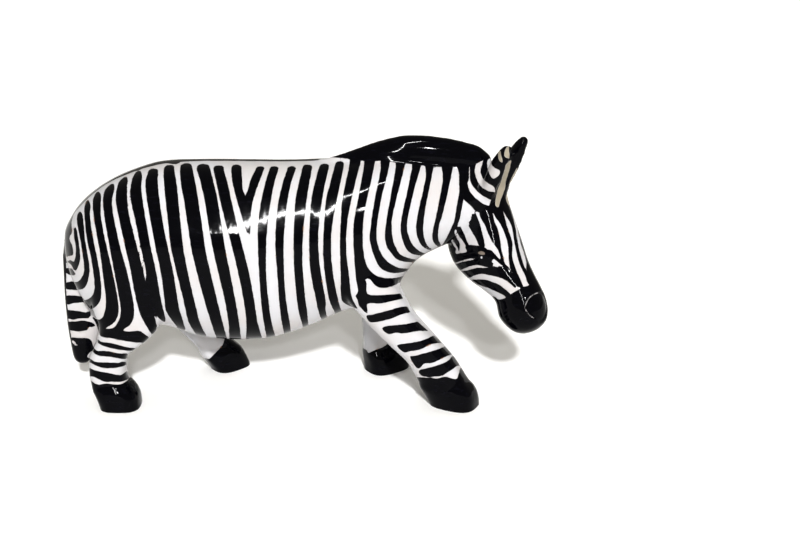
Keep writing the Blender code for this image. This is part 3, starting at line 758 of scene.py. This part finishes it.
def signed_distance(pixels, outline):
    """Distance in pixels to a closed outline, less than 0 inside it by the even-odd rule."""
    result = np.full(len(pixels), FIELD_REACH)
    low, high = outline.min(axis=0) - FIELD_REACH, outline.max(axis=0) + FIELD_REACH
    near = ((pixels > low) & (pixels < high)).all(axis=1)
    point = pixels[near][:, None]
    run = np.roll(outline, -1, axis=0) - outline
    offset = point - outline
    share = np.clip((offset * run).sum(axis=2) / np.maximum((run ** 2).sum(axis=1), 1e-9), 0, 1)
    gap = offset - share[:, :, None] * run
    distance = np.sqrt((gap ** 2).sum(axis=2).min(axis=1))
    level = point[:, :, 1]
    straddles = (outline[:, 1] > level) != (outline[:, 1] + run[:, 1] > level)
    slope = run[:, 0] / np.where(np.abs(run[:, 1]) < 1e-9, 1e-9, run[:, 1])
    inside = (straddles & (offset[:, :, 0] < offset[:, :, 1] * slope)).sum(axis=1) % 2 == 1
    result[near] = np.minimum(FIELD_REACH, np.where(inside, -distance, distance))
    return result


def union(pixels, outlines):
    """The field of several outlines together: the least of their distances."""
    return np.min([signed_distance(pixels, outline) for outline in outlines], axis=0)


def head_place(points):
    """Places in the head's frame, and how far out in the head's sections: 1 on its surface."""
    local = (points - POLL) @ head_axes().T
    down, front, back, half_width = np.array(HEAD).T
    along = local[:, 0]
    front, back, half_width = (np.interp(along, down, column) for column in (front, back, half_width))
    out = np.abs(local[:, 1] - (front + back) / 2) / ((front - back) / 2)
    side = np.abs(local[:, 2]) / half_width
    return local, (out ** HEAD_FULLNESS + side ** HEAD_FULLNESS) ** (1 / HEAD_FULLNESS)


def ear_place(points, root, lean, shape):
    """Share of the way up an ear, and distance from its axis in units."""
    axes = head_axes()
    axis = np.array(lean) @ axes * shape.ear_length / UNIT
    offset = points - POLL - np.array(root) @ axes
    share = offset @ axis / (axis @ axis)
    return share, np.linalg.norm(offset - share[:, None] * axis, axis=1)


def leg_depth(points, rows):
    """How far out points lie in a leg's level sections: 1 on its surface."""
    z, *columns = np.array(rows, dtype=float).T
    columns = (np.interp(points[:, 2], z, column) for column in columns)
    centre_x, half_length, centre_y, half_width, toes = columns
    turn = np.radians(toes)
    off_x, off_y = points[:, 0] - centre_x, points[:, 1] - centre_y
    along = np.abs(off_x * np.cos(turn) + off_y * np.sin(turn)) / half_length
    side = np.abs(off_y * np.cos(turn) - off_x * np.sin(turn)) / half_width
    return (along ** LEG_FULLNESS + side ** LEG_FULLNESS) ** (1 / LEG_FULLNESS)


def on_legs(points, *legs):
    """Whether points lie on the surface of one of the legs."""
    return np.min([leg_depth(points, rows) for rows in legs], axis=0) < LEG_REACH


def head_zone(points, shape):
    """Whether points lie on the head or its ears."""
    local, depth = head_place(points)
    zone = (depth < HEAD_REACH) & (local[:, 0] > HEAD_START)
    for root, lean in EARS:
        share, off_axis = ear_place(points, root, lean, shape)
        zone |= (share > EAR_START) & (off_axis < EAR_RADIUS)
    return zone


def fine_zone(mesh, shape):
    """Whether each vertex lies where the painting is finest: on the head, the ears or the near legs."""
    points = vertex_values(mesh, "co") / UNIT
    leg = on_legs(points, NEAR_HIND, NEAR_FORE) & (points[:, 2] < FINE_LEG_TOP) & (points[:, 1] < FINE_LEG_SIDE)
    return head_zone(points, shape) | leg


def painted(points, normals, shape):
    """Fields of the paint at every vertex, in units: two of black, white over black, beige painted shade of the
    ears' hollows, and the eye's.

    Each is the signed distance to the nearest outline, less than 0 in the paint. A vertex that faces the camera
    takes its own pixel, and a hidden one that of its mirror place on the near side.
    """
    local = head_place(points)[0]
    on_head = head_zone(points, shape)
    far, low = points[:, 1] > MIRROR, points[:, 2] < LEG_TOP
    far_leg = far & low & on_legs(points, FAR_HIND, FAR_FORE)
    near_leg = ~far & low & on_legs(points, NEAR_HIND, NEAR_FORE)
    body = ~on_head & ~far_leg
    fields = {name: np.full(len(points), FIELD_REACH) for name in (*INKS, "chalk", "hollow_shade", "shine", "spark")}
    seen = ((photograph_axes()[0] - points) * normals).sum(axis=1) > 0
    mirrored = points.copy()
    mirrored[:, 1] = np.where(seen, points[:, 1], np.minimum(points[:, 1], 2 * MIRROR - points[:, 1]))
    body_pixels = to_picture(mirrored[body])

    # the plain inner faces
    outward = np.where(far, -normals[:, 1], normals[:, 1])
    inner = (points[:, 2] < INNER_TOP) & (points[:, 0] > INNER_BACK)
    inner &= (points[:, 0] > THIGH_BACK) | (points[:, 2] < THIGH_LOW)
    plain = np.full(len(points), -FIELD_REACH)
    plain[inner] = INNER_SLOPE * (outward[inner] + np.interp(points[inner, 2], *INNER_TURN))

    # the body, neck and tail
    turns = ([], [])
    for group in (FLANK, RUMP, HAUNCH, SHOULDER, NAPE, TAIL_BANDS, NEAR_LEG_BANDS):
        smooth = upright_stripe if group in (FLANK, RUMP) else closed_curve
        for number, rows in enumerate(group):
            turns[(number + (group in (HAUNCH, SHOULDER))) % 2].append(smooth(rows))
    turns[0].extend(curves((CREST, RUMP_EDGE)))
    turns[1].append(closed_curve(HEAD_INK[0]))
    for name, outlines in zip(INKS, turns):
        fields[name][body] = np.maximum(union(body_pixels, outlines), plain[body])
    fields["chalk"][body] = union(body_pixels, curves(HEAD_CHALK))

    # the line along the back
    along, middle, half = np.array(BACK_LINE).T
    line = np.abs(points[:, 1] - np.interp(points[:, 0], along, middle)) - np.interp(points[:, 0], along, half)
    line = np.maximum(line, points[:, 0] - along[-1])
    steep = (normals[:, 2] < LINE_SLOPE) & (points[:, 0] > LINE_RUMP)
    line[(points[:, 2] < LINE_FOOT) | on_head | steep] = FIELD_REACH
    fields["ink_b"] = np.minimum(fields["ink_b"], line * PIXELS_PER_UNIT)

    # the near legs, then the far ones
    pixels = to_picture(points[near_leg])
    for turn, name in enumerate(INKS):
        bands = np.maximum(union(pixels, curves(NEAR_LEG_BANDS[turn::2])), plain[near_leg])
        fields[name][near_leg] = np.minimum(fields[name][near_leg], bands)
    hooves = union(pixels, curves(NEAR_HOOVES))
    fields["ink_a"][near_leg] = np.minimum(fields["ink_a"][near_leg], hooves)
    height = points[far_leg, 2]
    rings = np.min([np.abs(height - middle) - half for middle, half in FAR_BANDS], axis=0) * PIXELS_PER_UNIT
    fields["ink_a"][far_leg] = union(to_picture(points[far_leg]), curves(FAR_SOCKS))
    fields["ink_b"][far_leg] = np.maximum(rings, plain[far_leg])

    # the head, which mirrors itself
    aside = local[on_head]
    aside[:, 2] = np.where(seen[on_head], aside[:, 2], -np.abs(aside[:, 2]))
    pixels = to_picture(POLL + aside @ head_axes())
    inks = curves((*NAPE, *HEAD_INK))
    both = (curves((CREST, EYE_CORNER, HEAD_INK[-1])), curves((EYE_CORNER,)))
    for turn, name in enumerate(INKS):
        fields[name][on_head] = union(pixels, inks[turn::2] + both[turn]) - HEAD_STROKE_GROWTH
    # the beige paints the shade in the ears' hollows and on their faint patches
    for name, outlines in (("chalk", HEAD_CHALK + EAR_HOLLOW_SHADE), ("hollow_shade", EAR_HOLLOW_SHADE), ("shine", (EYE_SHINE,)),
                           ("spark", (EYE_SPARK,))):
        fields[name][on_head] = union(pixels, curves(outlines))

    fields = {name: field / PIXELS_PER_UNIT for name, field in fields.items()}
    # a grey line along the nose pad's rim that paints its highlight, fading out low on the muzzle and on the
    # far side
    hidden = np.maximum(local[on_head, 0] - RIM_END, 0) + np.maximum(local[on_head, 2] - RIM_SIDE, 0)
    fields["pad_rim_highlight"] = np.full(len(points), FIELD_REACH)
    fields["pad_rim_highlight"][on_head] = np.abs(pad_distance(local[on_head])) + hidden
    return fields


class Sum:
    """A shader socket in sums: every operator adds one Math node."""

    def __init__(self, socket):
        self.socket = socket

    def maths(self, operation, first, second=0.0):
        return add_node(self.socket.id_data, "ShaderNodeMath", {"operation": operation}, {0: first, 1: second})

    def __add__(self, other):
        return self.maths("ADD", self, other)

    __radd__ = __add__

    def __sub__(self, other):
        return self.maths("SUBTRACT", self, other)

    def __rsub__(self, other):
        return self.maths("SUBTRACT", other, self)

    def __mul__(self, other):
        return self.maths("MULTIPLY", self, other)

    __rmul__ = __mul__

    def __neg__(self):
        return self.maths("MULTIPLY", self, -1.0)

    def __abs__(self):
        return self.maths("ABSOLUTE", self)

    def least(self, other):
        return self.maths("MINIMUM", self, other)

    def most(self, other):
        return self.maths("MAXIMUM", self, other)

    def rise(self, low, high):
        """0 below low, 1 above high, and smooth between."""
        values = {"Value": self, "From Min": low, "From Max": high}
        return add_node(self.socket.id_data, "ShaderNodeMapRange", {"interpolation_type": "SMOOTHSTEP"}, values)


def add_node(tree, kind, settings, inputs, output=0):
    """Adds a node: settings first, then a value or a link for each named socket."""
    node = tree.nodes.new(kind)
    for name, value in settings.items():
        setattr(node, name, value)
    for name, value in inputs.items():
        if isinstance(value, Sum):
            tree.links.new(value.socket, node.inputs[name])
        else:
            node.inputs[name].default_value = value
    return Sum(node.outputs[output])


def blend_colours(tree, share, first, second):
    """A colour between two, by a share from 0 to 1."""
    return add_node(tree, "ShaderNodeMix", {"data_type": "RGBA"}, {0: share, 6: first, 7: second}, 2)


def attribute(tree, name):
    """A number kept on the vertices."""
    return add_node(tree, "ShaderNodeAttribute", {"attribute_name": name}, {}, "Fac")


def noise(tree, place, scale, detail):
    """Cloudy noise from 0 to 1, about 0.5 in the middle; scale in lumps a metre."""
    return add_node(tree, "ShaderNodeTexNoise", {}, {"Vector": place, "Scale": scale, "Detail": detail})


def painted_wood(finish):
    """Brushed black over cream paint on pale wood, under a hand-rubbed gloss."""
    material = bpy.data.materials.new("painted_wood")
    material.use_nodes = True
    tree = material.node_tree
    shader = tree.nodes["Principled BSDF"]
    place = add_node(tree, "ShaderNodeTexCoord", {}, {}, "Object")
    streak_place = add_node(tree, "ShaderNodeMapping", {}, {"Vector": place, "Scale": STREAK_STRETCH})
    wobble = (noise(tree, place, LUMPS["wobble"], 3) - 0.5) * (0.9 * finish.raggedness)
    ink = attribute(tree, "ink_a").least(attribute(tree, "ink_b"))
    ink = ink.most(-attribute(tree, "chalk")) + wobble
    black = 1 - ink.rise(-0.10, 0.10)

    cloud = noise(tree, place, LUMPS["cloud"], 3)
    streaks = noise(tree, streak_place, LUMPS["streaks"], 3)
    cream = blend_colours(tree, cloud.rise(0.35, 0.68), (*finish.cream, 1), (*finish.cream_shade, 1))
    soiled = (1 - ink.rise(0.0, 0.7)) * streaks.rise(0.45, 0.75) * 0.35
    cream = blend_colours(tree, soiled, cream, (*finish.soil, 1))
    # beige over the cream: painted shade in the ears' hollows and on their faint patches
    hollow = 1 - attribute(tree, "hollow_shade").rise(-0.2, 0.2)
    cream = blend_colours(tree, hollow, cream, (*finish.hollow_shade, 1))
    ink_colour = blend_colours(tree, streaks.rise(0.5, 0.8) * 0.8, (*finish.ink, 1), (*finish.ink_shade, 1))
    paint = blend_colours(tree, black, cream, ink_colour)
    specks = noise(tree, place, LUMPS["specks"], 2)
    worn = (1 - abs(ink).rise(0.1, 0.45)) * specks.rise(0.69, 0.73) * finish.wear
    paint = blend_colours(tree, worn, paint, (*finish.wood, 1))
    # grey over the black: a painted highlight along the nose pad's rim, broken up by streaks
    pad_rim_highlight = (1 - abs(attribute(tree, "pad_rim_highlight")).rise(0.12, 0.34)) * streaks.rise(0.25, 0.55)
    paint = blend_colours(tree, pad_rim_highlight, paint, (*finish.pad_rim_highlight, 1))
    shine = 1 - attribute(tree, "shine").rise(-0.2, 0.25)
    paint = blend_colours(tree, shine * 0.8, paint, (*finish.eye, 1))
    spark = 1 - attribute(tree, "spark").rise(-0.15, 0.15)
    paint = blend_colours(tree, spark, paint, (*finish.cream, 1))
    tree.links.new(paint.socket, shader.inputs["Base Color"])

    rough = 0.03 + cloud * 0.03 + streaks * 0.03 + worn * 0.3
    tree.links.new(rough.socket, shader.inputs["Roughness"])
    ripple = noise(tree, place, LUMPS["ripple"], 2)
    height = ripple * 0.6 + streaks * 0.12 + black * 0.08 - worn * 0.1
    bump = add_node(tree, "ShaderNodeBump", {}, {**RIPPLES, "Height": height})
    tree.links.new(bump.socket, shader.inputs["Normal"])
    shader.inputs["Specular IOR Level"].default_value = GLOSS
    return material


def add_lamp(name, kind, settings):
    """Puts a lamp with its settings in the scene."""
    light = bpy.data.lights.new(name, kind)
    for setting, value in settings.items():
        setattr(light, setting, value)
    lamp = bpy.data.objects.new(name, light)
    bpy.context.scene.collection.objects.link(lamp)
    return lamp


class ZEBRA_OT_carve(Operator):
    """Lofts, fuses and sands the figure, and cuts its soles flat"""

    bl_idname = "zebra.carve"
    bl_label = "Carve the figure"

    def execute(self, context):
        shape = context.scene.zebra_shape
        tubes = [trunk_rings(), head_rings(), mane_rings(shape), tail_rings(shape)]
        tubes += [ear_rings(root, lean, shape) for root, lean in EARS]
        tubes += [leg_rings(rows, shape) for rows in (NEAR_HIND, FAR_HIND, NEAR_FORE, FAR_FORE)]
        body = bpy.data.objects.new("carved_zebra", tube_mesh("carved_zebra", tubes))
        context.scene.collection.objects.link(body)
        fuse = body.modifiers.new("fuse", "REMESH")
        fuse.mode = "VOXEL"
        fuse.voxel_size = shape.chip
        mesh = settled(body)
        sand(mesh, shape.softening)
        bpy.ops.mesh.primitive_cube_add(size=1, location=(0, 0, -SLAB[2] / 2))
        slab = context.object
        slab.scale = SLAB
        cut = body.modifiers.new("soles", "BOOLEAN")
        cut.operation = "DIFFERENCE"
        cut.solver = "EXACT"
        cut.object = slab
        mesh = settled(body)
        bpy.data.objects.remove(slab)
        refine(mesh, fine_zone(mesh, shape))
        sand(mesh, shape.softening, fine_zone(mesh, shape))
        points = detailed(vertex_values(mesh, "co") / UNIT, vertex_values(mesh, "normal"), shape)
        points = (points + FRAME_SHIFT) * UNIT
        mesh.vertices.foreach_set("co", points.astype(np.float32).ravel())
        mesh.update()
        mesh.shade_smooth()
        mesh.set_sharp_from_angle(angle=SHARP_EDGE)
        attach(body, "root")
        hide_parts("zebra")
        return {"FINISHED"}


class ZEBRA_OT_paint(Operator):
    """Draws the stripes, eyes, hooves, mane and muzzle on the figure, and gives it the paint's material"""

    bl_idname = "zebra.paint"
    bl_label = "Paint the figure"

    def execute(self, context):
        body = context.scene.objects["carved_zebra"]
        mesh = body.data
        points = vertex_values(mesh, "co") / UNIT - FRAME_SHIFT
        fields = painted(points, vertex_values(mesh, "normal"), context.scene.zebra_shape)
        for name, values in fields.items():
            layer = mesh.attributes.new(name, "FLOAT", "POINT")
            layer.data.foreach_set("value", values.astype(np.float32))
        mesh.materials.clear()
        mesh.materials.append(painted_wood(context.scene.zebra_finish))
        return {"FINISHED"}


class ZEBRA_OT_stage(Operator):
    """Lays a pale floor, and sets the lights and the camera"""

    bl_idname = "zebra.stage"
    bl_label = "Set the stage"

    def execute(self, context):
        scene = context.scene
        bpy.ops.mesh.primitive_plane_add(size=FLOOR_SIZE)
        floor = context.object
        floor.name = "floor"
        material = bpy.data.materials.new("pale_floor")
        material.use_nodes = True
        shader = material.node_tree.nodes["Principled BSDF"]
        shader.inputs["Base Color"].default_value = FLOOR_COLOUR
        shader.inputs["Roughness"].default_value = FLOOR_ROUGHNESS
        floor.data.materials.append(material)
        world = bpy.data.worlds.new("studio")
        world.use_nodes = True
        sky = world.node_tree.nodes["Background"]
        sky.inputs["Color"].default_value = SKY_COLOUR
        sky.inputs["Strength"].default_value = SKY_STRENGTH
        scene.world = world
        scene.view_settings.view_transform = "Standard"
        scene.view_settings.look = "None"
        scene.view_settings.gamma = GAMMA
        camera = bpy.data.objects.new("camera", bpy.data.cameras.new("camera"))
        camera.location = (photograph_axes()[0] + FRAME_SHIFT) * UNIT
        camera.rotation_euler = (math.pi / 2 - CAMERA_ELEVATION, 0, 0)
        camera.data.lens = LENS
        camera.data.sensor_width = SENSOR
        scene.collection.objects.link(camera)
        scene.camera = camera
        for name, strength, angle, turn, glossy in LIGHTS:
            lamp = add_lamp(name, "SUN", {"energy": strength, "angle": math.radians(angle)})
            lamp.rotation_euler = tuple(math.radians(part) for part in turn)
            lamp.visible_glossy = glossy
        for low, high in zip(STRIP, STRIP[1:]):
            low, high = Vector(low), Vector(high)
            lamp = add_lamp("strip", "AREA", {"shape": "RECTANGLE", "size": (high - low).length,
                                              "size_y": STRIP_WIDTH, "energy": STRIP_POWER})
            along = (high - low).normalized()
            back = ((low + high) / 2 - Vector(FIGURE_MIDDLE)).normalized()
            back = (back - along * back.dot(along)).normalized()
            lamp.rotation_euler = Matrix((along, back.cross(along), back)).transposed().to_euler()
            lamp.location = (low + high) / 2
            lamp.visible_diffuse = False
        return {"FINISHED"}


class ZEBRA_PT_panel(Panel):
    """Lists the figure's sizes and steps"""

    bl_idname = "ZEBRA_PT_panel"
    bl_label = "Zebra"
    bl_space_type = "VIEW_3D"
    bl_region_type = "UI"
    bl_category = "Zebra"

    def draw(self, context):
        for group, values in ((Shape, context.scene.zebra_shape), (Finish, context.scene.zebra_finish)):
            for name in group.__annotations__:
                self.layout.prop(values, name)
        for operator in OPERATORS:
            self.layout.operator(operator.bl_idname)


OPERATORS = (ZEBRA_OT_carve, ZEBRA_OT_paint, ZEBRA_OT_stage)
CLASSES = (Shape, Finish, *OPERATORS, ZEBRA_PT_panel)


def register():
    """Adds the sidebar's panel, the steps and their values."""
    for cls in CLASSES:
        bpy.utils.register_class(cls)
    bpy.types.Scene.zebra_shape = PointerProperty(type=Shape)
    bpy.types.Scene.zebra_finish = PointerProperty(type=Finish)


def unregister():
    """Takes them away again."""
    del bpy.types.Scene.zebra_shape
    del bpy.types.Scene.zebra_finish
    for cls in reversed(CLASSES):
        bpy.utils.unregister_class(cls)


def main():
    """Carves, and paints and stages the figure."""
    register()
    bpy.ops.zebra.carve()
    bpy.ops.zebra.paint()
    bpy.ops.zebra.stage()


if __name__ == "__main__":
    main()
